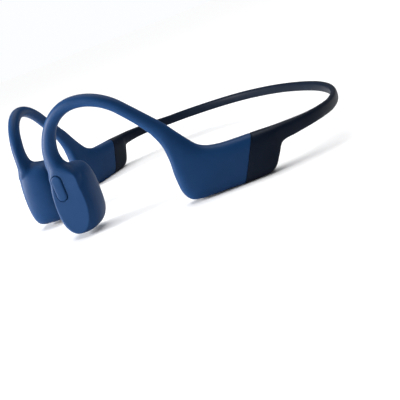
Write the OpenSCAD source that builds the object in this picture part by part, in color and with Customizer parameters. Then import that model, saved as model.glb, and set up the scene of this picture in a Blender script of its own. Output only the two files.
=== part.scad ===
// Behind-the-head bone conduction headphones, at rest on the undersides of the two housings.
// +X is the wearer's left, -Y is the front where the transducer pods hang, +Z is up.
// The band, housings and ear hooks lie on one upright curved sheet. A place on that sheet is
// s (mm along its plan, from the middle of the nape), z (height) and n (outward of the sheet).

/* [Band] */
// Distance of the middle of the nape behind the origin
nape_y = 59.3; // [57:0.1:62]
// Height of the strap's upper edge at the middle of the nape
strap_top = 13.9; // [13.6:0.1:14.8]
// Height of the strap from edge to edge at the nape
strap_h = 4.0; // [3.6:0.1:4.4]
// Thickness of the strap, skin to skin
strap_t = 2.5; // [2.3:0.1:3]
// Distance along the band from the nape to each flexing corner
flex_s = 50; // [46:1:54]
// Length of soft band left to bend at each corner
flex_gap = 1.6; // [1.6:0.1:2.4]

/* [Housing] */
// Height of the two housings
housing_h = 14.9; // [14.6:0.1:15.4]
// Thickness of the housings across the head direction
housing_t = 7.8; // [7.6:0.1:8.6]
// Width of the parting line between the dark rear cap and the blue front shell
seam_gap = 0.1; // [0.06:0.02:0.2]
// Wall under the electronics and battery space
housing_wall = 1.6; // [1.4:0.1:1.7]

/* [Ear hook] */
// Diameter of the hook tube over the ear
hook_d = 4.3; // [4.3:0.1:4.9]
// Diameter of the spring wire inside the band and the hooks
wire_d = 0.9; // [0.7:0.05:1]
// Diameter of the cable beside the spring wire
cable_d = 0.9; // [0.7:0.05:1]

/* [Pod] */
// Width of a transducer pod
pod_w = 15.5; // [15:0.1:16.5]
// Height of a transducer pod
pod_h = 24.6; // [24:0.1:25.4]
// Depth of a pod from its outer facet to its skin contact face
pod_d = 14; // [13.8:0.1:14.5]
// Angle of the pods about the vertical
pod_yaw = 42.5; // [40:0.5:45]
// Lean of the pods, bottom forward
pod_lean = 2; // [0:0.5:4]

/* [Controls] */
// Width of the pill-shaped button on the left pod
button_w = 3.8; // [3.6:0.1:4]
// Length of the pill-shaped button on the left pod
button_l = 9.2; // [8.6:0.1:9.4]
// How far the button stands out of the pod's facet
button_proud = 0.35; // [0.2:0.05:0.5]
// Length of each volume key along the housing
key_l = 4.4; // [4:0.1:4.4]
// Width of each volume key
key_w = 2.4; // [2.2:0.1:2.6]

/* [Hidden] */

// smoothness of true round features
$fn = 40;
// points round a soft section, and steps along the band and hooks
ring_n = 24;
step = 3.4;
// clearance kept round wires and internal parts
gap = 0.1;

skin_blue = [0.10, 0.22, 0.40];
skin_dark = [0.07, 0.10, 0.16];
steel = [0.72, 0.73, 0.75];
board_green = [0.08, 0.32, 0.20];
copper = [0.80, 0.48, 0.25];

// Plan of the sheet from the nape to the temples: arc length and turn of each tangent arc.
plan = [
    [22, 9.2], [30.4, 30.1], [26.6, 31.1], [16.3, 36.8], [11.3, 11],
    [17.7, -1.2], [17.1, 9.6], [12, 11.8], [26.5, 4.5]
];

// Centre line of wire and tube from the housing, over the ear, to the pod, in s and z.
hook_from = [124.5, 11.9, 60];
hook_arcs = [[13.8, 5.7], [19.2, 6.9], [16.4, 46.2], [13.4, 51.5], [12.1, 38.9], [14, 24]];
hook_start = 22;
hook_end = 76;

// Turtle walk along tangent arcs, turning clockwise: [x, y, heading] after a distance d.
function arc_end(p, d, k) = abs(k) < 0.0001
    ? [p[0] + d * cos(p[2]), p[1] + d * sin(p[2]), p[2]]
    : let (r = 180 / (PI * k), h = p[2] - k * d)
      [p[0] + r * (sin(p[2]) - sin(h)), p[1] + r * (cos(h) - cos(p[2])), h];
function walk(arcs, p, d, i = 0) = (i >= len(arcs) - 1 || d <= arcs[i][0])
    ? arc_end(p, d, arcs[i][1] / arcs[i][0])
    : walk(arcs, arc_end(p, arcs[i][0], arcs[i][1] / arcs[i][0]), d - arcs[i][0], i + 1);

// A place on the sheet in room coordinates. Negative s is the wearer's right.
function place(s, n, z) =
    let (q = walk(plan, [0, nape_y, 0], abs(s)), m = s < 0 ? -1 : 1)
    [m * (q[0] - n * sin(q[2])), q[1] + n * cos(q[2]), z];
function heading(s) = walk(plan, [0, nape_y, 0], s)[2];
function hook_line(t) = walk(hook_arcs, hook_from, t);

// Smooth curve through a list of stations (Catmull-Rom), at a fractional index.
function clamp(i, a) = max(0, min(len(a) - 1, i));
function spline(a, u) =
    let (i = min(floor(u), len(a) - 2), f = u - i,
         p0 = a[clamp(i - 1, a)], p1 = a[i], p2 = a[i + 1], p3 = a[clamp(i + 2, a)])
    0.5 * (2 * p1 + (p2 - p0) * f + (2 * p0 - 5 * p1 + 4 * p2 - p3) * f * f
           + (3 * p1 - p0 - 3 * p2 + p3) * f * f * f);
function sampled(a, per) = [for (j = [0:(len(a) - 1) * per]) spline(a, j / per)];

// Rounded section: superellipse with flats at its top and bottom.
function soft(a, e) = sign(a) * pow(abs(a), 2 / e);
function soft_ring(e) =
    [for (k = [0:ring_n - 1])
        let (a = (k + 0.5) * 360 / ring_n)
        [soft(cos(a), e), soft(sin(a), e) / soft(cos(180 / ring_n), e)]];

// Section between an upper and a lower edge: [s_top, z_top, s_low, z_low, half_t, e].
function sheet_ring(w) =
    [for (q = soft_ring(w[5]))
        place((w[0] + w[2] + q[1] * (w[0] - w[2])) / 2, -q[0] * w[4],
              (w[1] + w[3] + q[1] * (w[1] - w[3])) / 2)];

// Round bar along a list of points.
function unit(v) = v / norm(v);
function way(p, i) = unit(p[min(i + 1, len(p) - 1)] - p[max(i - 1, 0)]);
function bar_rings(p, r, up, m = 7) =
    [for (i = [0:len(p) - 1])
        let (t = way(p, i), a = unit(cross(t, up)), b = cross(a, t))
        [for (k = [0:m - 1]) p[i] + r * (cos(k * 360 / m) * a + sin(k * 360 / m) * b)]];

// A soft moulding, finished as one skin at its own size.
module moulding() {
    resize([0, 0, 0]) children();
}

// Closed skin through equal rings, with a fan at each end.
module loft(rings) {
    m = len(rings[0]);
    last = len(rings) - 1;
    total = m * (last + 1);
    function middle(r) = [for (v = [0, 1, 2]) [for (k = [0:m - 1]) r[k][v]] * [for (k = [0:m - 1]) 1] / m];
    points = concat([for (r = rings) each r], [middle(rings[0]), middle(rings[last])]);
    faces = concat(
        [for (i = [0:last - 1], k = [0:m - 1])
            [i * m + k, i * m + (k + 1) % m, (i + 1) * m + (k + 1) % m]],
        [for (i = [0:last - 1], k = [0:m - 1])
            [i * m + k, (i + 1) * m + (k + 1) % m, (i + 1) * m + k]],
        [for (k = [0:m - 1]) [total, (k + 1) % m, k]],
        [for (k = [0:m - 1]) [total + 1, last * m + k, last * m + (k + 1) % m]]
    );
    polyhedron(points, faces, convexity = 8);
}

// Skin with a channel along it: outer and inner rings in step, with a flat rim at each end.
module pipe(outer, inner) {
    m = len(outer[0]);
    last = len(outer) - 1;
    shift = m * (last + 1);
    points = concat([for (r = outer) each r], [for (r = inner) each r]);
    faces = concat(
        [for (i = [0:last - 1], k = [0:m - 1])
            [i * m + k, i * m + (k + 1) % m, (i + 1) * m + (k + 1) % m]],
        [for (i = [0:last - 1], k = [0:m - 1])
            [i * m + k, (i + 1) * m + (k + 1) % m, (i + 1) * m + k]],
        [for (i = [0:last - 1], k = [0:m - 1])
            [shift + i * m + k, shift + (i + 1) * m + (k + 1) % m, shift + i * m + (k + 1) % m]],
        [for (i = [0:last - 1], k = [0:m - 1])
            [shift + i * m + k, shift + (i + 1) * m + k, shift + (i + 1) * m + (k + 1) % m]],
        [for (k = [0:m - 1]) [k, shift + k, shift + (k + 1) % m]],
        [for (k = [0:m - 1]) [k, shift + (k + 1) % m, (k + 1) % m]],
        [for (k = [0:m - 1]) [last * m + k, shift + last * m + (k + 1) % m, shift + last * m + k]],
        [for (k = [0:m - 1]) [last * m + k, last * m + (k + 1) % m, shift + last * m + (k + 1) % m]]
    );
    polyhedron(points, faces, convexity = 8);
}
// Stations carry their walls: [..., top wall, low wall, half thickness of the space inside].
function inner_station(w) =
    let (len = norm([w[2] - w[0], w[3] - w[1]]), a = w[6] / len, b = w[7] / len)
    [w[0] + (w[2] - w[0]) * a, w[1] + (w[3] - w[1]) * a,
     w[2] + (w[0] - w[2]) * b, w[3] + (w[1] - w[3]) * b, w[8], 3 + 2 * w[8]];
module pipe_through(stations) {
    pipe([for (w = stations) sheet_ring(w)], [for (w = stations) sheet_ring(inner_station(w))]);
}

// Upper edge and depth of the strap at a distance from the nape.
function strap_upper(s) = strap_top - 0.85 * pow(sin(min(abs(s), 62) * 180 / 124), 2);
function strap_depth(s) = strap_h + 0.0045 * abs(s);
// height and half width of the channel that holds the wire above the cable
channel_h = 2.7;
channel_half = 0.62;
function strap_station(s) =
    let (d = strap_depth(s), wall = (d - channel_h) / 2)
    [s, strap_upper(s), s, strap_upper(s) - d, strap_t / 2, 2.7, wall, wall, channel_half];
function strap_middle(s) = strap_upper(s) - strap_depth(s) / 2;
// the wire and the cable rise a little where the strap deepens
function run_height(s) = strap_middle(min(s, 70)) + 0.85 * sin(90 * min(1, max(0, (s - 70) / 27)));

// Dark rear part: the strap swells into the rear cap that ends on the leaning seam.
half_t = housing_t / 2;
space_half = half_t - 1.2;
seam_top = 107;
seam_low = 114.5;
rear_stations = [
    strap_station(70),
    [78, 13.5, 78, 9.1, strap_t / 2 + 0.05, 2.7, 0.85, 0.85, channel_half],
    [86, 13.9, 86, 9.2, strap_t / 2 + 0.2, 2.7, 1, 1, channel_half],
    [92.5, 14.3, 92.5, 9.0, strap_t / 2 + 0.7, 2.9, 1.3, 1.3, channel_half],
    [97.3, 14.5, 97.9, 8.4, half_t - 1.4, 3.2, 1.5, 2.1, channel_half],
    [99.9, 14.6, 100.5, 4.9, half_t - 0.7, 3.6, 1.7, 5.4, channel_half + 0.1],
    [102.2, housing_h - 0.2, 102.5, 1.9, half_t - 0.3, 4, 1.9, 6.5, channel_half + 0.6],
    [103.9, housing_h - 0.1, 104.7, 0.45, half_t - 0.1, 4, 1.9, 1.8, space_half],
    [105.0, housing_h - 0.05, 108.5, 0.06, half_t, 4, 1.9, 1.7, space_half],
    [seam_top - seam_gap, housing_h, seam_low - seam_gap, 0, half_t, 4, 1.9, 1.8, space_half]
];

// Blue front shell: the block narrows into the neck that rises to the ear hook.
// Its underside rises a little ahead of the seam, so that the volume keys stand proud of it.
front_stations = [
    [seam_top, housing_h, seam_low, 0, half_t, 4, 1.9, 1.8, space_half],
    [112, housing_h + 0.18, 119.4, 0.28, half_t, 4, 2, 1.5, space_half],
    [117.5, housing_h + 0.55, 124.8, 0.38, half_t - 0.1, 3.9, 2.4, 1.42, space_half],
    [121.8, housing_h + 1.5, 129.4, 0.5, half_t - 0.3, 3.9, 3.0, 2.72, space_half - 0.2],
    [124.6, housing_h + 3.1, 132.8, 1.4, half_t - 0.5, 3.4, 3.0, 10.2, 1.6],
    [126.6, housing_h + 5.4, 134.8, 4.6, half_t - 0.7, 3.0, 1.8, 12.8, 1],
    [128.6, housing_h + 8.2, 135.3, 10.1, half_t - 1.0, 2.7, 1.9, 9.9, channel_half + 0.1],
    [130.5, housing_h + 10.9, 135.1, 16.0, half_t - 1.2, 2.5, 1.7, 6.2, channel_half],
    [132.7, housing_h + 14.0, 135.6, 21.4, half_t - 1.4, 2.3, 1.75, 3.3, channel_half],
    [135.5, housing_h + 17.2, 137.6, 26.5, hook_d / 2, 2.2, 1.5, 1.6, channel_half]
];

// Tube of the hook: a round section square to the centre line.
function hook_width(t) =
    hook_d + 3.1 * pow(max(0, (t - 60) / (hook_end - 60)), 2) + 0.6 * pow(max(0, (34 - t) / 12), 2);
function hook_half(t) = hook_d / 2 + 0.5 * pow(max(0, (t - 60) / (hook_end - 60)), 2);
function hook_station(t) =
    let (q = hook_line(t), b = hook_width(t) / 2)
    [q[0] - b * sin(q[2]), q[1] + b * cos(q[2]), q[0] + b * sin(q[2]), q[1] - b * cos(q[2]),
     hook_half(t), 2.2, b - channel_h / 2, b - channel_h / 2, channel_half];
hook_steps = 17;
hook_stations = concat(
    [front_stations[len(front_stations) - 1]],
    [for (j = [1:hook_steps]) hook_station(hook_start + (hook_end - hook_start) * j / hook_steps)]);

// Frames of reference.
module right_side() {
    mirror([1, 0, 0]) children();
}
// x forward along the housing, y outward, z up; the boards and the cell are set out from here
housing_s = 113;
module in_housing(s = housing_s) {
    translate(place(s, 0, 0)) rotate([0, 0, heading(s)]) children();
}
// x across the pod towards the ear, y from the outer facet towards the skin, z up
pod_at = [22.2, nape_y - 116.3, 13.6];
module in_pod() {
    translate(pod_at) rotate([0, 0, pod_yaw]) rotate([-pod_lean, 0, 0]) children();
}
function pod_point(p) =
    let (y = p[1] * cos(pod_lean) + p[2] * sin(pod_lean),
         z = p[2] * cos(pod_lean) - p[1] * sin(pod_lean))
    pod_at + [p[0] * cos(pod_yaw) - y * sin(pod_yaw), p[0] * sin(pod_yaw) + y * cos(pod_yaw), z];

// ---- band ----
wire_rise = 0.75;
neck_wire_end = 99;
neck_cable_end = 104.2;
module band_run(reach, side, rise, r) {
    count = ceil(reach / step) * 2;
    loft(bar_rings([for (j = [0:count]) let (s = -reach + 2 * reach * j / count)
        place(s, 0, run_height(abs(s)) + side * rise)], r, [0, 0, 1]));
}
module neck_wire() {
    color(steel) band_run(neck_wire_end, 1, wire_rise, wire_d / 2);
}
module neck_cable() {
    color(copper) band_run(neck_cable_end, -1, wire_rise, cable_d / 2);
}
module strap_piece(from, to) {
    count = ceil(abs(to - from) / step);
    pipe_through([for (j = [0:count]) strap_station(from + (to - from) * j / count)]);
}
module band_sleeve() {
    end = flex_s - flex_gap / 2;
    color(skin_dark) strap_piece(-end, end);
}
module left_flex_sleeve() {
    color(skin_dark) strap_piece(flex_s - flex_gap / 2 + gap, flex_s + flex_gap / 2 - gap);
}
module right_flex_sleeve() {
    right_side() left_flex_sleeve();
}

// ---- rear sleeve with its cap ----
strap_start = flex_s + flex_gap / 2;
strap_steps = 6;
module rear_sleeve() {
    pipe_through(concat(
        [for (j = [0:strap_steps - 1])
            strap_station(strap_start + (70 - strap_start) * j / strap_steps)],
        sampled(rear_stations, 2)));
}
module left_rear_sleeve() {
    color(skin_dark) rear_sleeve();
}
module right_rear_sleeve() {
    color(skin_dark) moulding() right_side() difference() {
        rear_sleeve();
        port_place() port_solid(gap);
    }
}

// ---- front housing shell and hook ----
hook_up = [0.7, -0.7, 0];
// a run inside the channel: side 1 is the wire, side -1 the cable
function channel_run(stations, side) = [for (w = stations)
    let (c = inner_station(w), along = unit([c[0] - c[2], c[1] - c[3]]),
         middle = [c[0] + c[2], c[1] + c[3]] / 2 + side * wire_rise * along)
    place(middle[0], 0, middle[1])];
neck_stations = [for (w = sampled(front_stations, 2)) if (w[0] > 124) w];
hook_path = concat(neck_stations, [for (j = [1:len(hook_stations) - 1]) hook_stations[j]]);
wire_path = [for (j = [0:len(hook_path) - 2]) hook_path[j]];
module hook_wire() {
    loft(bar_rings(channel_run(wire_path, 1), wire_d / 2, hook_up));
}
module hook_cable() {
    tail = [for (f = [0.35, 0.95]) neck_from + f * (neck_to - neck_from)];
    loft(bar_rings(concat(channel_run(hook_path, -1), tail), cable_d / 2, hook_up));
}
module housing_shell() {
    pipe_through(sampled(front_stations, 2));
}
module ear_hook() {
    pipe_through(hook_stations);
}
module left_housing_shell() {
    color(skin_blue) housing_shell();
}
module right_housing_shell() {
    color(skin_blue) moulding() right_side() difference() {
        housing_shell();
        keys_place() for (i = [0, 1]) translate([i * key_pitch, 0, 0]) key_hole();
        light_place() cylinder(h = 3 * housing_wall, r = light_r + gap / 2, center = true);
    }
}
module left_ear_hook() {
    color(skin_blue) ear_hook();
}
module right_ear_hook() {
    color(skin_blue) right_side() ear_hook();
}
module left_hook_wire() {
    color(steel) hook_wire();
}
module right_hook_wire() {
    color(steel) right_side() hook_wire();
}
module left_hook_cable() {
    color(copper) hook_cable();
}
module right_hook_cable() {
    color(copper) right_side() hook_cable();
}

// ---- pod ----
// Layers of the pod from the outer facet to the skin: [depth, half width, half height, roundness].
pod_layers = [
    [0, 0.775, 0.945, 2.1], [0.06, 0.87, 0.972, 2.4], [0.15, 0.945, 0.992, 2.7],
    [0.3, 0.99, 1, 2.9], [0.47, 1, 1, 2.9], [0.65, 0.975, 0.99, 2.9], [0.8, 0.915, 0.955, 2.9],
    [0.91, 0.815, 0.895, 2.8], [0.97, 0.69, 0.82, 2.7], [1, 0.56, 0.73, 2.6]
];
cap_y = 11.2;
pod_ring_n = 40;
// the rear edge of the facet leans in at its top, and the front edge follows the line of the hook
facet_lean = 1.5;
front_lean = 0.9;
function pod_ring(w) =
    [for (k = [0:pod_ring_n - 1])
        let (a = (k + 0.5) * 360 / pod_ring_n, u = soft(sin(a), w[3]) * w[2],
             across = soft(cos(a), w[3]) * w[1],
             rear = facet_lean * pow(max(0, u), 2) * max(0, 1 - w[0] / 0.3) * max(0, across),
             front = front_lean * (u + 0.8) * (1 - across) / 2)
        [across * pod_w / 2 - rear + front, w[0] * pod_d, u * pod_h / 2]];
module pod_solid() {
    loft([for (w = sampled(pod_layers, 2)) pod_ring(w)]);
}
// the tube widens as it runs down into the pod
module pod_neck() {
    end = hook_station(hook_end);
    intersection() {
        loft([
            sheet_ring(end),
            sheet_ring([177.9, 25.2, 168.6, 25.2, 3.2, 2.4]),
            sheet_ring([178.4, 22.1, 166.6, 21.6, 4.2, 2.6]),
            sheet_ring([178.0, 16.6, 166.6, 16.6, 4.2, 2.8])
        ]);
        in_pod() translate([-20, 0, -20]) cube([40, 20, 60]);
    }
}
// round way for the wire's end and the cable, from the neck into the pod's space
neck_t = hook_line(hook_end - 1);
neck_from = place(neck_t[0], 0, neck_t[1]);
neck_to = pod_point([1.9, 6.7, 7.1]);
module neck_channel() {
    way = neck_to - neck_from;
    translate(neck_from) rotate([0, acos(way[2] / norm(way)), atan2(way[1], way[0])])
        cylinder(h = norm(way), r = channel_h / 2, $fn = 20);
}
module stadium(w, h, y0, y1) {
    $fn = 28;
    translate([0, y0, 0]) rotate([-90, 0, 0]) {
        for (v = [-1, 1]) translate([0, v * (h - w) / 2, 0]) cylinder(h = y1 - y0, r = w / 2);
        translate([-w / 2, -(h - w) / 2, 0]) cube([w, h - w, y1 - y0]);
    }
}
pod_wall = 1.8;
space_w = 11.8;
space_x = 0.15;
space_h = 19;
space_z = -1;
module pod_shell() {
    difference() {
        union() {
            in_pod() pod_solid();
            pod_neck();
        }
        in_pod() translate([space_x, 0, space_z]) stadium(space_w, space_h, pod_wall, cap_y + 1);
        in_pod() translate([-20, cap_y, -20]) cube([40, 20, 60]);
        neck_channel();
    }
}
module contact_cap() {
    in_pod() difference() {
        intersection() {
            pod_solid();
            translate([-20, cap_y, -20]) cube([40, 20, 60]);
        }
        translate([space_x, 0, space_z]) stadium(space_w - 0.5, space_h - 0.6, cap_y - 1, cap_y + 1.2);
    }
}
button_x = -1.6;
button_z = 5.5;
module button_pocket() {
    translate([button_x, 0, button_z]) {
        stadium(button_w + 0.3, button_l + 0.3, -1, pod_wall + 1);
        stadium(button_w + 1.3, button_l + 0.5, pod_wall, pod_wall + 3.4);
    }
}
module left_pod_shell() {
    color(skin_blue) moulding() difference() {
        pod_shell();
        in_pod() button_pocket();
    }
}
module right_pod_shell() {
    color(skin_blue) moulding() right_side() pod_shell();
}
module left_contact_cap() {
    color(skin_blue) moulding() contact_cap();
}
module right_contact_cap() {
    color(skin_blue) moulding() right_side() contact_cap();
}

// ---- transducer, stacked along y from the outer facet towards the skin ----
motor_z = -3;
yoke_r = 5.6;
yoke_y = 5.4;
yoke_floor = 1;
yoke_depth = 5.2;
magnet_r = 3.5;
magnet_l = 2.4;
plate_l = 1;
coil_in = 4.0;
coil_out = 4.6;
module ring_y(y0, y1, r_out, r_in = 0) {
    translate([0, y0, motor_z]) rotate([-90, 0, 0]) difference() {
        cylinder(h = y1 - y0, r = r_out);
        if (r_in > 0) translate([0, 0, -1]) cylinder(h = y1 - y0 + 2, r = r_in);
    }
}
module yoke() {
    in_pod() difference() {
        ring_y(yoke_y, yoke_y + yoke_depth, yoke_r);
        ring_y(yoke_y + yoke_floor, yoke_y + yoke_depth + 1, yoke_r - 0.7);
    }
}
module magnet() {
    in_pod() ring_y(yoke_y + yoke_floor, yoke_y + yoke_floor + magnet_l, magnet_r);
}
module top_plate() {
    y = yoke_y + yoke_floor + magnet_l;
    in_pod() ring_y(y, y + plate_l, magnet_r);
}
carrier_y = cap_y + 0.5;
module voice_coil() {
    in_pod() ring_y(yoke_y + yoke_floor + 1.2, carrier_y, coil_out, coil_in);
}
module coil_carrier() {
    in_pod() {
        ring_y(carrier_y, cap_y + 1.2, yoke_r - 0.2);
        for (a = [30:120:270]) translate([5.1 * cos(a), 0, 5.1 * sin(a)])
            ring_y(yoke_y + yoke_depth + 0.3, carrier_y + 0.1, 0.3);
    }
}
module spring_plate() {
    y = yoke_y + yoke_depth;
    in_pod() difference() {
        ring_y(y, y + 0.25, yoke_r, coil_out + 0.15);
        for (a = [60:120:300]) translate([5.2 * cos(a), 0, 5.2 * sin(a)]) ring_y(y - 1, y + 1, 0.22);
    }
}
module left_yoke() {
    color(steel) yoke();
}
module left_magnet() {
    color("dimgray") magnet();
}
module left_top_plate() {
    color(steel) top_plate();
}
module left_voice_coil() {
    color(copper) voice_coil();
}
module left_coil_carrier() {
    color("white") coil_carrier();
}
module left_spring_plate() {
    color(steel) spring_plate();
}
module right_yoke() {
    color(steel) right_side() yoke();
}
module right_magnet() {
    color("dimgray") right_side() magnet();
}
module right_top_plate() {
    color(steel) right_side() top_plate();
}
module right_voice_coil() {
    color(copper) right_side() voice_coil();
}
module right_coil_carrier() {
    color("white") right_side() coil_carrier();
}
module right_spring_plate() {
    color(steel) right_side() spring_plate();
}

// ---- button on the left pod ----
press = 0.3;
flange_t = 0.5;
flange_y = pod_wall + 0.05;
switch_y = flange_y + flange_t + press + 0.05;
switch_l = 0.5;
module multifunction_button() {
    color(skin_blue) in_pod() translate([button_x, 0, button_z]) {
        stadium(button_w, button_l, -button_proud, flange_y + 0.1);
        stadium(button_w + 0.9, button_l + 0.1, flange_y, flange_y + flange_t);
    }
}
module button_switch() {
    color(steel) in_pod() translate([button_x, switch_y, button_z]) rotate([-90, 0, 0])
        cylinder(h = switch_l, r1 = 1.2, r2 = 1.7);
}
module button_board() {
    color(board_green) in_pod() translate([button_x, 0, button_z])
        stadium(button_w + 0.9, button_l + 0.1, switch_y + switch_l, switch_y + switch_l + 0.5);
}

// ---- battery in the left housing ----
cell_x = -7.6;
cell_l = 17.4;
cell_t = 4.6;
cell_h = 10.2;
module battery_cell() {
    color("silver") in_housing() translate([cell_x, -cell_t / 2, housing_wall + 0.5])
        cube([cell_l, cell_t, cell_h]);
}
module battery_board() {
    color(board_green) in_housing() translate([cell_x + cell_l + 0.2, -cell_t / 2, housing_wall + 0.6])
        cube([0.8, cell_t, cell_h - 1.6]);
}

// ---- electronics in the right housing ----
board_x = -7.6;
board_l = 19.6;
board_y = 0.4;
board_t = 0.8;
board_z = 4.6;
board_h = 8.4;
module board_part(x, z, l, h, t) {
    right_side() in_housing() translate([board_x + x, board_y - t, board_z + z]) cube([l, t, h]);
}
module main_board() {
    color(board_green) right_side() in_housing()
        translate([board_x, board_y, board_z]) cube([board_l, board_t, board_h]);
}
module radio_chip() {
    color("dimgray") board_part(3, 1.6, 5, 5, 0.9);
}
module audio_chip() {
    color("dimgray") board_part(10, 2, 3.6, 3.6, 0.8);
}
module antenna() {
    color("white") board_part(0.4, 5.8, 2, 2, 1.2);
}
module microphone() {
    color("gold") board_part(15.6, 4.6, 3, 2, 1);
}
key_s = 118.7;
key_pitch = 4.8;
key_n = -1.6;
module keys_place() {
    in_housing(key_s) translate([0, key_n, 0]) children();
}
key_flange = 0.4;
key_travel = 0.25;
key_flange_z = housing_wall + 0.25;
module key_block(l, w, z0, z1) {
    for (v = [-1, 1]) translate([v * (l - w) / 2, 0, z0]) cylinder(h = z1 - z0, r = w / 2);
    translate([-(l - w) / 2, -w / 2, z0]) cube([l - w, w, z1 - z0]);
}
module key_hole() {
    key_block(key_l - 0.1, key_w + 0.2, -1, key_flange_z + key_travel + 0.2);
}
module key_cap() {
    key_block(key_l - 0.4, key_w, 0.06, key_flange_z + 0.1);
    translate([-(key_l - 0.2) / 2, -0.55, key_flange_z]) cube([key_l - 0.2, 1.8, key_flange]);
}
key_switch_z = key_flange_z + key_flange + key_travel + 0.05;
module volume_up_key() {
    color(skin_blue) right_side() keys_place() translate([key_pitch, 0, 0]) key_cap();
}
module volume_down_key() {
    color(skin_blue) right_side() keys_place() key_cap();
}
module key_switch() {
    translate([0, 0.3, key_switch_z]) cylinder(h = 0.4, r1 = 0.7, r2 = 1);
}
module volume_up_switch() {
    color(steel) right_side() keys_place() translate([key_pitch - 0.8, 0, 0]) key_switch();
}
module volume_down_switch() {
    color(steel) right_side() keys_place() key_switch();
}
module key_board() {
    color(board_green) right_side() keys_place()
        translate([-2.2, -0.9, key_switch_z + 0.4]) cube([6.4, 2.3, 0.5]);
}

// ---- charging port and status light under the right housing ----
port_s = 108.3;
port_l = 6.4;
port_w = 3.6;
module port_place() {
    in_housing(port_s) children();
}
module port_solid(grow) {
    key_block(port_l + 2 * grow, port_w + 2 * grow, -1, housing_wall + 0.2 + grow);
}
module charging_port_frame() {
    color("black") right_side() port_place() difference() {
        key_block(port_l, port_w, 0.5, housing_wall + 0.2);
        for (v = [-1, 1]) translate([v * 0.9, 0, -1]) cylinder(h = 4, r = 0.55);
        for (v = [-1, 1]) translate([v * 2.35, 0, 0.9]) cylinder(h = 4, r = 0.6);
    }
}
module charging_contacts() {
    color("gold") right_side() port_place() for (v = [-1, 1])
        translate([v * 0.9, 0, 0.55]) cylinder(h = 1.5, r = 0.5);
}
module charging_magnets() {
    color("silver") right_side() port_place() for (v = [-1, 1])
        translate([v * 2.35, 0, 0.95]) cylinder(h = 0.9, r = 0.55);
}
light_s = 116.2;
light_n = 1.6;
light_r = 0.7;
module light_place() {
    in_housing(light_s) translate([0, light_n, 0]) children();
}
module status_light() {
    color("white") right_side() light_place() translate([0, 0, 0.2]) cylinder(h = 2.1, r = light_r);
}

band_sleeve();
neck_wire();
neck_cable();
left_flex_sleeve();
right_flex_sleeve();
left_rear_sleeve();
left_housing_shell();
battery_cell();
battery_board();
left_ear_hook();
left_hook_wire();
left_hook_cable();
left_pod_shell();
left_contact_cap();
left_yoke();
left_magnet();
left_top_plate();
left_voice_coil();
left_coil_carrier();
left_spring_plate();
multifunction_button();
button_switch();
button_board();
right_rear_sleeve();
right_housing_shell();
main_board();
radio_chip();
audio_chip();
antenna();
microphone();
key_board();
volume_up_key();
volume_down_key();
volume_up_switch();
volume_down_switch();
charging_port_frame();
charging_contacts();
charging_magnets();
status_light();
right_ear_hook();
right_hook_wire();
right_hook_cable();
right_pod_shell();
right_contact_cap();
right_yoke();
right_magnet();
right_top_plate();
right_voice_coil();
right_coil_carrier();
right_spring_plate();
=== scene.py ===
import math

import bmesh
import bpy
import numpy as np
from mathutils import Matrix, Vector


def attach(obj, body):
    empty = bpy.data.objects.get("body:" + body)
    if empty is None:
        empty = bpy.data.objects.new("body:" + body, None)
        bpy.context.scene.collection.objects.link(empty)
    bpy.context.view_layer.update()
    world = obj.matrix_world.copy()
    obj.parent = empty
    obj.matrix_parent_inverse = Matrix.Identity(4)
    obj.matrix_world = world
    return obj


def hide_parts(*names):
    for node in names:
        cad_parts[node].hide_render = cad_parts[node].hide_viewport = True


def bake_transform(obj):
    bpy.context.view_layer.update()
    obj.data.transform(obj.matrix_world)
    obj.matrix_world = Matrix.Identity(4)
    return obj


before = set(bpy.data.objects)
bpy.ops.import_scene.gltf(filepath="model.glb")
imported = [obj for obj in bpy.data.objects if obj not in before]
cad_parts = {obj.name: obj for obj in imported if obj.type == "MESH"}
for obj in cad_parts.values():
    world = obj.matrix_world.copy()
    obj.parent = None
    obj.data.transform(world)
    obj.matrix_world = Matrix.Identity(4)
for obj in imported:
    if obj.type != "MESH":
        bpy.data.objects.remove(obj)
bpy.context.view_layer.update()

scene = bpy.context.scene
MM = 0.001

# ------------------------------------------------------------------ camera
EYE = Vector((251.2, -125.3, 61.7)) * MM
LOOK = Vector((-0.863, 0.463, -0.199)).normalized()
UP_HINT = Vector((0.007, 0.407, 0.914))
camera = bpy.data.objects.new("camera", bpy.data.cameras.new("camera"))
scene.collection.objects.link(camera)
right = LOOK.cross(UP_HINT).normalized()
up = right.cross(LOOK)
camera.matrix_world = Matrix.Translation(EYE) @ Matrix((right, up, -LOOK)).transposed().to_4x4()
camera.data.lens = 63
camera.data.sensor_width = 36
camera.data.shift_y = -0.125
camera.data.clip_start = 0.01
camera.data.clip_end = 10
scene.camera = camera

# ------------------------------------------------------------------ the shared sheet
# Sizes here are in millimetres and follow the CAD. A place is s along the plan, z, and n outward.
NAPE_Y = 59.3
PLAN = [(22, 9.2), (30.4, 30.1), (26.6, 31.1), (16.3, 36.8), (11.3, 11),
        (17.7, -1.2), (17.1, 9.6), (12, 11.8), (26.5, 4.5)]
HOOK_FROM = (124.5, 11.9, 60)
HOOK_ARCS = [(13.8, 5.7), (19.2, 6.9), (16.4, 46.2), (13.4, 51.5), (12.1, 38.9), (14, 24)]
HOOK_START, HOOK_END = 22, 76
HOUSING_H, HALF_T = 14.9, 3.9
STRAP_TOP, STRAP_H, STRAP_T, HOOK_D = 13.9, 4.0, 2.5, 4.3
FLEX_S, SEAM_TOP, SEAM_LOW, SEAM_GAP = 50, 107, 114.5, 0.12
KEY_S, KEY_N, KEY_PITCH, LIGHT_S, LIGHT_N, PORT_S = 118.7, -1.6, 4.8, 116.2, 1.6, 108.3
FINE = 0.05


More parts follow.
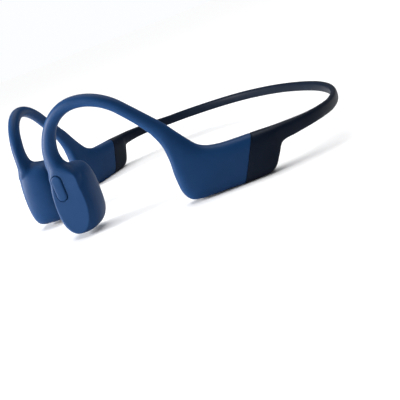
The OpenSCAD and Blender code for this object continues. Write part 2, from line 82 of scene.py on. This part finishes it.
def trace(arcs, x, y, heading, length):
    """Positions and headings every FINE mm along tangent arcs that turn clockwise."""
    rows = [(x, y, heading)]
    done, arc, left = 0.0, 0, arcs[0][0]
    while done < length:
        turn = arcs[arc][1] / arcs[arc][0] * FINE
        middle = math.radians(heading - turn / 2)
        x, y, heading = x + FINE * math.cos(middle), y + FINE * math.sin(middle), heading - turn
        rows.append((x, y, heading))
        done, left = done + FINE, left - FINE
        if left <= 0 and arc < len(arcs) - 1:
            arc += 1
            left += arcs[arc][0]
    return np.array(rows)


PLAN_ROWS = trace(PLAN, 0, NAPE_Y, 0, 200)
HOOK_ROWS = trace(HOOK_ARCS, *HOOK_FROM, 90)


def along(rows, d):
    at = np.arange(len(rows)) * FINE
    return [np.interp(d, at, rows[:, k]) for k in range(3)]


def place(s, n, z, side):
    """Room coordinates in metres. side is 1 for the wearer's left and -1 for the right."""
    x, y, h = along(PLAN_ROWS, s)
    h = np.radians(h)
    return np.stack([side * (x - n * np.sin(h)), y + n * np.cos(h), z + 0 * x], -1) * MM


def strap_upper(s):
    return STRAP_TOP - 0.85 * math.sin(math.radians(min(s, 62) * 180 / 124)) ** 2


def strap_depth(s):
    return STRAP_H + 0.0045 * s


def strap_station(s):
    return (s, strap_upper(s), s, strap_upper(s) - strap_depth(s), STRAP_T / 2, 2.7)


def run_height(s):
    middle = strap_upper(min(s, 70)) - strap_depth(min(s, 70)) / 2
    return middle + 0.85 * math.sin(math.radians(90 * min(1, max(0, (s - 70) / 27))))


REAR = [
    strap_station(70),
    (78, 13.5, 78, 9.1, STRAP_T / 2 + 0.05, 2.7),
    (86, 13.9, 86, 9.2, STRAP_T / 2 + 0.2, 2.7),
    (92.5, 14.3, 92.5, 9.0, STRAP_T / 2 + 0.7, 2.9),
    (97.3, 14.5, 97.9, 8.4, HALF_T - 1.4, 3.2),
    (99.9, 14.6, 100.5, 4.9, HALF_T - 0.7, 3.6),
    (102.2, HOUSING_H - 0.2, 102.5, 1.9, HALF_T - 0.3, 4),
    (103.9, HOUSING_H - 0.1, 104.7, 0.45, HALF_T - 0.1, 4),
    (105.0, HOUSING_H - 0.05, 108.5, 0.06, HALF_T, 4),
    (SEAM_TOP - SEAM_GAP, HOUSING_H, SEAM_LOW - SEAM_GAP, 0, HALF_T, 4),
]
FRONT = [
    (SEAM_TOP, HOUSING_H, SEAM_LOW, 0, HALF_T, 4),
    (112, HOUSING_H + 0.18, 119.4, 0.28, HALF_T, 4),
    (117.5, HOUSING_H + 0.55, 124.8, 0.38, HALF_T - 0.1, 3.9),
    (121.8, HOUSING_H + 1.5, 129.4, 0.5, HALF_T - 0.3, 3.9),
    (124.6, HOUSING_H + 3.1, 132.8, 1.4, HALF_T - 0.5, 3.4),
    (126.6, HOUSING_H + 5.4, 134.8, 4.6, HALF_T - 0.7, 3.0),
    (128.6, HOUSING_H + 8.2, 135.3, 10.1, HALF_T - 1.0, 2.7),
    (130.5, HOUSING_H + 10.9, 135.1, 16.0, HALF_T - 1.2, 2.5),
    (132.7, HOUSING_H + 14.0, 135.6, 21.4, HALF_T - 1.4, 2.3),
    (135.5, HOUSING_H + 17.2, 137.6, 26.5, HOOK_D / 2, 2.2),
]


def hook_station(t):
    s, z, h = (float(v) for v in along(HOOK_ROWS, t))
    h = math.radians(h)
    swell = max(0, (t - 60) / (HOOK_END - 60)) ** 2
    b = (HOOK_D + 3.1 * swell + 0.6 * max(0, (34 - t) / 12) ** 2) / 2
    return (s - b * math.sin(h), z + b * math.cos(h), s + b * math.sin(h), z - b * math.cos(h),
            HOOK_D / 2 + 0.5 * swell, 2.2)


def sampled(stations, per):
    """Catmull-Rom through the stations."""
    a = np.array(stations, float)
    a = np.vstack([a[:1], a, a[-1:]])
    rows = []
    for i in range(1, len(a) - 2):
        for f in np.arange(per) / per:
            p0, p1, p2, p3 = a[i - 1:i + 3]
            rows.append(0.5 * (2 * p1 + (p2 - p0) * f + (2 * p0 - 5 * p1 + 4 * p2 - p3) * f ** 2
                               + (3 * p1 - p0 - 3 * p2 + p3) * f ** 3))
    rows.append(a[-2])
    return rows


def soft(a, e):
    return np.sign(a) * np.abs(a) ** (2 / e)


def sheet_ring(w, count, side, inset=0.0):
    """Superellipse section between an upper and a lower edge, pulled in by inset mm."""
    a = (np.arange(count) + 0.5) * 2 * math.pi / count
    up_half = np.array([w[0] - w[2], w[1] - w[3]]) / 2
    reach = np.linalg.norm(up_half)
    v = soft(np.sin(a), w[5]) * (1 - inset / reach)
    u = soft(np.cos(a), w[5]) * (w[4] - inset)
    s = (w[0] + w[2]) / 2 + v * up_half[0]
    z = (w[1] + w[3]) / 2 + v * up_half[1]
    return place(s, -u, z, side)


# ------------------------------------------------------------------ mesh helpers
def link(name, mesh):
    obj = bpy.data.objects.new(name, mesh)
    scene.collection.objects.link(obj)
    return obj


def shade(obj, crease=50):
    for p in obj.data.polygons:
        p.use_smooth = True
    obj.data.set_sharp_from_angle(angle=math.radians(crease))


def loft(name, rings):
    """Closed smooth skin through rings of equal length, with a fan at each end."""
    m, n = len(rings[0]), len(rings)
    points = [tuple(p) for r in rings for p in r]
    faces = []
    for i in range(n - 1):
        for k in range(m):
            j = (k + 1) % m
            faces.append((i * m + k, i * m + j, (i + 1) * m + j, (i + 1) * m + k))
    for r, flip in ((0, False), (n - 1, True)):
        points.append(tuple(np.mean(rings[r], axis=0)))
        c = len(points) - 1
        for k in range(m):
            j = (k + 1) % m
            faces.append((c, r * m + k, r * m + j) if flip else (c, r * m + j, r * m + k))
    mesh = bpy.data.meshes.new(name)
    mesh.from_pydata(points, [], faces)
    obj = link(name, mesh)
    bm = bmesh.new()
    bm.from_mesh(mesh)
    bmesh.ops.recalc_face_normals(bm, faces=bm.faces)
    bm.to_mesh(mesh)
    bm.free()
    shade(obj)
    return obj


def apply_modifiers(obj):
    depsgraph = bpy.context.evaluated_depsgraph_get()
    mesh = bpy.data.meshes.new_from_object(obj.evaluated_get(depsgraph))
    obj.modifiers.clear()
    obj.data = mesh
    return obj


def remesh(obj, size):
    m = obj.modifiers.new("remesh", "REMESH")
    m.mode = "VOXEL"
    m.voxel_size = size * MM
    m.adaptivity = 0
    return apply_modifiers(obj)


def join(parts, name):
    bm = bmesh.new()
    for p in parts:
        bm.from_mesh(p.data)
        bpy.data.objects.remove(p)
    mesh = bpy.data.meshes.new(name)
    bm.to_mesh(mesh)
    bm.free()
    return link(name, mesh)


def relax(obj, weight, rounds, back=-0.58):
    """Smooths each vertex towards its neighbours by its weight, then back a little, so that it
    doesn't shrink. With back=0 it does shrink, which fills a crook."""
    mesh = obj.data
    count = len(mesh.vertices)
    co = np.empty(count * 3)
    mesh.vertices.foreach_get("co", co)
    co = co.reshape(-1, 3)
    edges = np.empty(len(mesh.edges) * 2, int)
    mesh.edges.foreach_get("vertices", edges)
    a, b = edges.reshape(-1, 2).T
    degree = np.bincount(np.r_[a, b], minlength=count)[:, None]
    w = weight(co)[:, None]
    for step in range(2 * rounds):
        total = np.zeros_like(co)
        for k in range(3):
            total[:, k] = (np.bincount(a, co[b, k], minlength=count)
                           + np.bincount(b, co[a, k], minlength=count))
        co += (total / degree - co) * w * (0.6 if step % 2 == 0 else back)
    mesh.vertices.foreach_set("co", co.ravel())
    mesh.update()


def cut(obj, cutters):
    for cutter in cutters:
        m = obj.modifiers.new("cut", "BOOLEAN")
        m.operation = "DIFFERENCE"
        m.solver = "MANIFOLD"
        m.object = cutter
    apply_modifiers(obj)
    for cutter in cutters:
        bpy.data.objects.remove(cutter)
    shade(obj)


def bevel(obj, width, segments=3, angle=35):
    m = obj.modifiers.new("bevel", "BEVEL")
    m.width = width * MM
    m.segments = segments
    m.limit_method = "ANGLE"
    m.angle_limit = math.radians(angle)
    m.harden_normals = False


# ------------------------------------------------------------------ the pods' own frame
POD_W, POD_H, POD_D = 15.5, 24.6, 14
POD_YAW, POD_LEAN = math.radians(42.5), math.radians(2)
POD_AT = np.array([22.2, NAPE_Y - 116.3, 13.6])
POD_LAYERS = [
    (0, 0.775, 0.945, 2.1), (0.06, 0.87, 0.972, 2.4), (0.15, 0.945, 0.992, 2.7),
    (0.3, 0.99, 1, 2.9), (0.47, 1, 1, 2.9), (0.65, 0.975, 0.99, 2.9), (0.8, 0.915, 0.955, 2.9),
    (0.91, 0.815, 0.895, 2.8), (0.97, 0.69, 0.82, 2.7), (1, 0.56, 0.73, 2.6),
]
FACET_LEAN, FRONT_LEAN = 1.5, 0.9
BUTTON_X, BUTTON_Z, BUTTON_W, BUTTON_L = -1.6, 5.5, 3.8, 9.2


def pod_room(p, side):
    """Pod coordinates (across, in towards the skin, up) in mm to room coordinates in metres."""
    p = np.asarray(p, float)
    y = p[..., 1] * math.cos(POD_LEAN) + p[..., 2] * math.sin(POD_LEAN)
    z = p[..., 2] * math.cos(POD_LEAN) - p[..., 1] * math.sin(POD_LEAN)
    q = np.stack([p[..., 0] * math.cos(POD_YAW) - y * math.sin(POD_YAW),
                  p[..., 0] * math.sin(POD_YAW) + y * math.cos(POD_YAW), z], -1) + POD_AT
    return q * [side * MM, MM, MM]


def pod_rings(side, per=8, count=128):
    """Layers from the outer facet to the skin, as superellipses that swell and then round off."""
    out = []
    for depth, wide, tall, e in sampled(POD_LAYERS, per):
        a = (np.arange(count) + 0.5) * 2 * math.pi / count
        u = soft(np.sin(a), e) * tall
        across = soft(np.cos(a), e) * wide
        rear = FACET_LEAN * np.maximum(0, u) ** 2 * max(0, 1 - depth / 0.3) * np.maximum(0, across)
        front = FRONT_LEAN * (u + 0.8) * (1 - across) / 2
        x = across * POD_W / 2 - rear + front
        out.append(pod_room(np.stack([x, np.full(count, depth * POD_D), u * POD_H / 2], -1), side))
    return out


def stadium(name, w, h, levels, at, side):
    """Pill-shaped prism in the pod's frame. levels are (depth, growth) rings from front to back."""
    rings = []
    t = (np.arange(48) + 0.5) * 2 * math.pi / 48
    for y, grow in levels:
        r = w / 2 + grow
        x = r * np.cos(t)
        z = r * np.sin(t) + np.where(np.sin(t) > 0, 1, -1) * (h - w) / 2
        rings.append(pod_room(np.stack([at[0] + x, np.full(48, float(y)), at[1] + z], -1), side))
    return loft(name, rings)


# ------------------------------------------------------------------ materials
def material(name, colour, rough, grain_mm=0.2, bump=0.15, metal=0.0, mottle=0.06, coat=0.0,
             wear=0.0, gloss=0.5):
    """Procedural finish: a fine grain in the bump, a slow change of colour and of roughness, and a
    painted highlight that lightens convex edges.
    """
    m = bpy.data.materials.new(name)
    m.use_nodes = True
    nodes, links = m.node_tree.nodes, m.node_tree.links
    nodes.clear()
    out = nodes.new("ShaderNodeOutputMaterial")
    bsdf = nodes.new("ShaderNodeBsdfPrincipled")
    links.new(bsdf.outputs[0], out.inputs[0])
    where = nodes.new("ShaderNodeTexCoord").outputs["Object"]

    def noise(size_mm, detail):
        n = nodes.new("ShaderNodeTexNoise")
        n.inputs["Scale"].default_value = 1 / (size_mm * MM)
        n.inputs["Detail"].default_value = detail
        n.inputs["Roughness"].default_value = 0.6
        links.new(where, n.inputs["Vector"])
        return n.outputs["Fac"]

    def spread(value, low, high):
        r = nodes.new("ShaderNodeMapRange")
        r.inputs["From Min"].default_value = 0.3
        r.inputs["From Max"].default_value = 0.7
        r.inputs["To Min"].default_value = low
        r.inputs["To Max"].default_value = high
        links.new(value, r.inputs["Value"])
        return r.outputs["Result"]

    slow, fine = noise(9, 3), noise(grain_mm, 2)
    mix = nodes.new("ShaderNodeMix")
    mix.data_type = "RGBA"
    links.new(spread(slow, 0, 1), mix.inputs["Factor"])
    dark = [c * (1 - mottle) for c in colour]
    pale = [min(1, c * (1 + mottle) + 0.002) for c in colour]
    mix.inputs["A"].default_value = (*dark, 1)
    mix.inputs["B"].default_value = (*pale, 1)
    paint = mix.outputs["Result"]
    # painted rim highlight: convex edges, found by pointiness, are lightened towards a pale colour,
    # whatever the light
    if wear:
        edge = nodes.new("ShaderNodeNewGeometry").outputs["Pointiness"]
        ramp = nodes.new("ShaderNodeMapRange")
        ramp.inputs["From Min"].default_value = 0.5
        ramp.inputs["From Max"].default_value = 0.62
        ramp.inputs["To Min"].default_value = 0
        ramp.inputs["To Max"].default_value = wear
        links.new(edge, ramp.inputs["Value"])
        rim_paint = nodes.new("ShaderNodeMix")
        rim_paint.data_type = "RGBA"
        links.new(ramp.outputs["Result"], rim_paint.inputs["Factor"])
        links.new(paint, rim_paint.inputs["A"])
        rim_paint.inputs["B"].default_value = (*[min(1, c * 2 + 0.02) for c in colour], 1)
        paint = rim_paint.outputs["Result"]
    links.new(paint, bsdf.inputs["Base Color"])
    links.new(spread(fine, max(0.02, rough - 0.06), min(1, rough + 0.06)), bsdf.inputs["Roughness"])
    bsdf.inputs["Metallic"].default_value = metal
    bsdf.inputs["Specular IOR Level"].default_value = gloss
    bsdf.inputs["Coat Weight"].default_value = coat
    bsdf.inputs["Coat Roughness"].default_value = 0.25
    b = nodes.new("ShaderNodeBump")
    b.inputs["Strength"].default_value = bump
    b.inputs["Distance"].default_value = grain_mm * MM * 0.2
    links.new(fine, b.inputs["Height"])
    links.new(b.outputs["Normal"], bsdf.inputs["Normal"])
    return m


# the silicones carry a painted highlight on their convex edges
BLUE = material("blue_silicone", (0.0035, 0.0310, 0.1010), 0.48, 0.16, 0.12, mottle=0.05,
                wear=0.05, gloss=0.1)
BLUE_KEY = material("blue_key_silicone", (0.0038, 0.0325, 0.1050), 0.46, 0.16, 0.12, mottle=0.05,
                    wear=0.05, gloss=0.1)
DARK = material("dark_band_silicone", (0.0020, 0.0060, 0.0155), 0.46, 0.16, 0.12, mottle=0.08,
                wear=0.04, gloss=0.07)
STEEL = material("drawn_steel", (0.55, 0.56, 0.58), 0.3, 0.08, 0.1, metal=1)
COPPER = material("enamelled_copper", (0.72, 0.33, 0.14), 0.28, 0.06, 0.2, metal=1, mottle=0.12)
NICKEL = material("nickel_plate", (0.68, 0.67, 0.65), 0.18, 0.3, 0.03, metal=1)
GOLD = material("gold_plate", (0.9, 0.62, 0.22), 0.22, 0.2, 0.03, metal=1)
BOARD = material("solder_mask", (0.015, 0.10, 0.045), 0.35, 0.4, 0.08, mottle=0.2, coat=0.3)
FOIL = material("battery_foil", (0.62, 0.63, 0.65), 0.35, 1.2, 0.3, metal=1, mottle=0.1)
CHIP = material("chip_resin", (0.012, 0.012, 0.013), 0.45, 0.1, 0.1, mottle=0.2)
WHITE = material("white_moulding", (0.72, 0.72, 0.70), 0.45, 0.3, 0.06)
CERAMIC = material("fired_ceramic", (0.75, 0.70, 0.60), 0.5, 0.12, 0.1)
JACKET = material("cable_jacket", (0.02, 0.02, 0.022), 0.42, 0.12, 0.08, mottle=0.2)
PORT = material("port_moulding", (0.010, 0.010, 0.012), 0.38, 0.15, 0.08, mottle=0.2)
LENS = material("light_lens", (0.80, 0.84, 0.88), 0.2, 0.2, 0.02, coat=0.6)


def wear_material(obj, m):
    obj.data.materials.clear()
    obj.data.materials.append(m)


# ------------------------------------------------------------------ band skins
def rounded_end(count, w, side, first):
    """Four shrinking rings that round the edge at a parting line."""
    radius = 0.22
    rings = []
    for a in (0, 30, 60, 90):
        inset = radius * (1 - math.cos(math.radians(a)))
        slide = radius * math.sin(math.radians(a)) - radius
        shift = -slide if first else slide
        q = list(w)
        q[0] += shift
        q[2] += shift
        rings.append(sheet_ring(q, count, side, inset))
    return rings[::-1] if first else rings


def slot_cutter(name, s, n, half, r, levels, side):
    """Rounded slot cutter under the housing at s and n. levels are (height, growth) rings."""
    rings = []
    t = (np.arange(40) + 0.5) * 2 * math.pi / 40
    for z, grow in levels:
        u = (r + grow) * np.cos(t) + np.where(np.cos(t) > 0, 1, -1) * (half - r)
        rings.append(in_housing(s, u, n + (r + grow) * np.sin(t), z, side))
    return loft(name, rings)


def in_housing(s, u, v, z, side):
    x, y, h = (float(k) for k in along(PLAN_ROWS, s))
    h = math.radians(h)
    return np.stack([side * (x + u * math.cos(h) - v * math.sin(h)),
                     y + u * math.sin(h) + v * math.cos(h), z + 0 * u], -1) * MM


def band_skin(side, label):
    stations = [strap_station(s) for s in np.arange(0, 70, 1.0)] + sampled(REAR, 10)[:-1]
    rings = [sheet_ring(w, 48, side) for w in stations]
    rings += rounded_end(48, REAR[-1], side, False)
    obj = loft(f"{label}_band_skin", rings)
    if side < 0:
        port = [(-1, 0.25), (0, 0.25), (0.2, 0), (1.85, 0)]
        cut(obj, [slot_cutter("port_cut", PORT_S, 0, 3.3, 1.9, port, side)])
    wear_material(obj, DARK)
    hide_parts("band_sleeve", f"{label}_flex_sleeve", f"{label}_rear_sleeve")
    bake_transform(obj)


def run_skin(label, side, name, reach, offset, r, m):
    """Half of the wire or cable that runs along inside the band."""
    rings = []
    t = (np.arange(12) + 0.5) * 2 * math.pi / 12
    for s in np.linspace(0, reach, int(reach)):
        z = run_height(s) + offset
        rings.append(place(np.full(12, s), r * np.cos(t), z + r * np.sin(t), side))
    obj = loft(f"{label}_{name}", rings)
    wear_material(obj, m)
    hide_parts(f"neck_{name}")
    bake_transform(obj)


# ------------------------------------------------------------------ arm skins
# where the hook widens into the pod, as sheet stations
FLARE_END = [(177.9, 25.2, 168.6, 25.2, 3.2, 2.4), (178.4, 22.1, 166.6, 21.6, 4.2, 2.6),
             (178.0, 16.6, 166.6, 16.6, 4.2, 2.8)]
ARM_VOXEL = 0.25
BUTTON_POCKET = [(-1, 0.28), (0, 0.28), (0.12, 0.17), (0.25, 0.13), (1.8, 0.13)]
SHELL_CUT = [(-1, 0), (1.5, 0)]


def arm_skin(side, label):
    """Housing shell, hook and pod as one continuous overmoulded skin."""
    # the rounded end stands in for the first four stations
    body = sampled(FRONT, 12)
    body += [hook_station(t) for t in np.arange(HOOK_START + 0.5, HOOK_END + 0.1, 0.5)]
    start = FRONT[0]
    rings = rounded_end(64, start, side, True) + [sheet_ring(w, 64, side) for w in body[4:]]
    trunk = loft("trunk", rings)
    pod = loft("pod", pod_rings(side))
    flare = sampled([hook_station(HOOK_END - 6), hook_station(HOOK_END - 3),
                     hook_station(HOOK_END)] + FLARE_END, 8)
    neck = loft("neck", [sheet_ring(w, 64, side) for w in flare])
    # the neck never stands in front of the pod's facet
    keep = bmesh.new()
    keep.from_mesh(neck.data)
    origin = Vector(pod_room((0, 0, 0), side))
    inward = (Vector(pod_room((0, 1, 0), side)) - origin).normalized()
    bmesh.ops.bisect_plane(keep, geom=keep.verts[:] + keep.edges[:] + keep.faces[:],
                           plane_co=origin, plane_no=inward, clear_inner=True)
    bmesh.ops.holes_fill(keep, edges=[e for e in keep.edges if e.is_boundary])
    keep.to_mesh(neck.data)
    keep.free()
    obj = remesh(join([trunk, pod, neck], f"{label}_arm_skin"), ARM_VOXEL)
    centre = pod_room((0, 4, 13), side)

    def weight(co):
        far = np.linalg.norm((co - centre) / MM, axis=1)
        seam = (co - place(np.array([110.7]), np.array([0.0]), np.array([7.5]), side)[0]) / MM
        calm = np.clip((np.linalg.norm(seam, axis=1) - 1) / 9, 0, 1)
        return (0.25 + 0.75 * np.clip((9 - far) / 5, 0, 1)) * (0.4 + 0.6 * calm)

    relax(obj, weight, 8)
    crook = pod_room((1.2, 5, 13.4), side)

    def fillet(co):
        far = np.linalg.norm((co - crook) / MM, axis=1)
        return np.clip((8 - far) / 4, 0, 1)

    relax(obj, fillet, 160, back=0)
    relax(obj, lambda co: np.full(len(co), 0.8), 3)
    cutters = []
    if side > 0:
        at = (BUTTON_X, BUTTON_Z)
        cutters.append(stadium("button_cut", BUTTON_W, BUTTON_L, BUTTON_POCKET, at, side))
    else:
        for k in (0, 1):
            cutters.append(slot_cutter("key_cut", KEY_S + KEY_PITCH * k, KEY_N, 2.12, 1.3,
                                       SHELL_CUT, side))
        cutters.append(slot_cutter("light_cut", LIGHT_S, LIGHT_N, 0.8, 0.75, SHELL_CUT, side))
    cut(obj, cutters)
    wear_material(obj, BLUE)
    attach(obj, f"{label}_arm")
    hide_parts(f"{label}_housing_shell", f"{label}_ear_hook", f"{label}_pod_shell",
                f"{label}_contact_cap")


def button_cap():
    """Pill button: a low crown with a soft edge above its skirt."""
    crown = [(1.3, 0.0), (0.1, 0.0), (-0.1, -0.03), (-0.22, -0.12), (-0.30, -0.28), (-0.34, -0.55),
             (-0.37, -1.1), (-0.38, -1.7)]
    obj = stadium("button_cap", BUTTON_W, BUTTON_L, crown, (BUTTON_X, BUTTON_Z), 1)
    wear_material(obj, BLUE_KEY)
    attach(obj, "multifunction_button")
    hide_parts("multifunction_button")


for side, label in ((1, "left"), (-1, "right")):
    band_skin(side, label)
    run_skin(label, side, "wire", 99, 0.75, 0.45, STEEL)
    run_skin(label, side, "cable", 104, -0.75, 0.45, JACKET)
    arm_skin(side, label)
button_cap()

# ------------------------------------------------------------------ carried-over CAD nodes
FINISH = {
    "hook_wire": STEEL, "hook_cable": JACKET, "yoke": STEEL, "magnet": NICKEL, "top_plate": STEEL,
    "voice_coil": COPPER, "coil_carrier": WHITE, "spring_plate": STEEL, "button_switch": STEEL,
    "button_board": BOARD, "battery_cell": FOIL, "battery_board": BOARD, "main_board": BOARD,
    "radio_chip": CHIP, "audio_chip": CHIP, "antenna": CERAMIC, "microphone": GOLD,
    "key_board": BOARD,
    "volume_up_key": BLUE_KEY, "volume_down_key": BLUE_KEY, "volume_up_switch": STEEL,
    "volume_down_switch": STEEL, "charging_port_frame": PORT, "charging_contacts": GOLD,
    "charging_magnets": NICKEL, "status_light": LENS,
}
EDGED = {
    "battery_cell": 0.5, "radio_chip": 0.12, "audio_chip": 0.12, "antenna": 0.1,
    "microphone": 0.15, "volume_up_key": 0.15, "volume_down_key": 0.15,
    "charging_port_frame": 0.12, "main_board": 0.1, "status_light": 0.1,
}
for name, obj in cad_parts.items():
    if obj.hide_render:
        continue
    plain = name.replace("left_", "").replace("right_", "")
    wear_material(obj, FINISH[plain])
    if plain in EDGED:
        bevel(obj, EDGED[plain])

# ------------------------------------------------------------------ floor and light
floor_mesh = bpy.data.meshes.new("floor")
REACH = 6.0
floor_mesh.from_pydata([(0, 0, 0)] + [(REACH * math.cos(a), REACH * math.sin(a), 0)
                                      for a in np.linspace(0, 2 * math.pi, 64, endpoint=False)], [],
                       [(0, 1 + k, 1 + (k + 1) % 64) for k in range(64)])
floor = link("floor", floor_mesh)
FLOOR = material("studio_floor", (0.92, 0.92, 0.925), 0.7, 1.0, 0.02, mottle=0.01)
wear_material(floor, FLOOR)

# the camera sees a white studio, while the part is lit by a much dimmer one
world = bpy.data.worlds.new("studio")
scene.world = world
world.use_nodes = True
back = world.node_tree.nodes["Background"]
back.inputs["Color"].default_value = (0.97, 0.985, 1.0, 1)
seen = world.node_tree.nodes.new("ShaderNodeLightPath").outputs["Is Camera Ray"]
level = world.node_tree.nodes.new("ShaderNodeMapRange")
level.inputs["To Min"].default_value = 0.16
level.inputs["To Max"].default_value = 1.0
world.node_tree.links.new(seen, level.inputs["Value"])
world.node_tree.links.new(level.outputs["Result"], back.inputs["Strength"])


def softbox(name, at, target, size, watts):
    data = bpy.data.lights.new(name, "AREA")
    data.shape = "RECTANGLE"
    data.size, data.size_y = size
    data.energy = watts
    obj = bpy.data.objects.new(name, data)
    scene.collection.objects.link(obj)
    obj.location = at
    obj.rotation_euler = (Vector(target) - Vector(at)).to_track_quat("-Z", "Y").to_euler()


sky = bpy.data.lights.new("ceiling", "SUN")
sky.energy = 3.1
sky.angle = math.radians(70)
ceiling = bpy.data.objects.new("ceiling", sky)
scene.collection.objects.link(ceiling)
ceiling.rotation_euler = (math.radians(-12), math.radians(-10), 0)
softbox("front", (-0.24, -0.60, 0.14), (0.0, -0.03, 0.02), (0.35, 0.3), 11)

scene.view_settings.view_transform = "Standard"
scene.view_settings.look = "None"
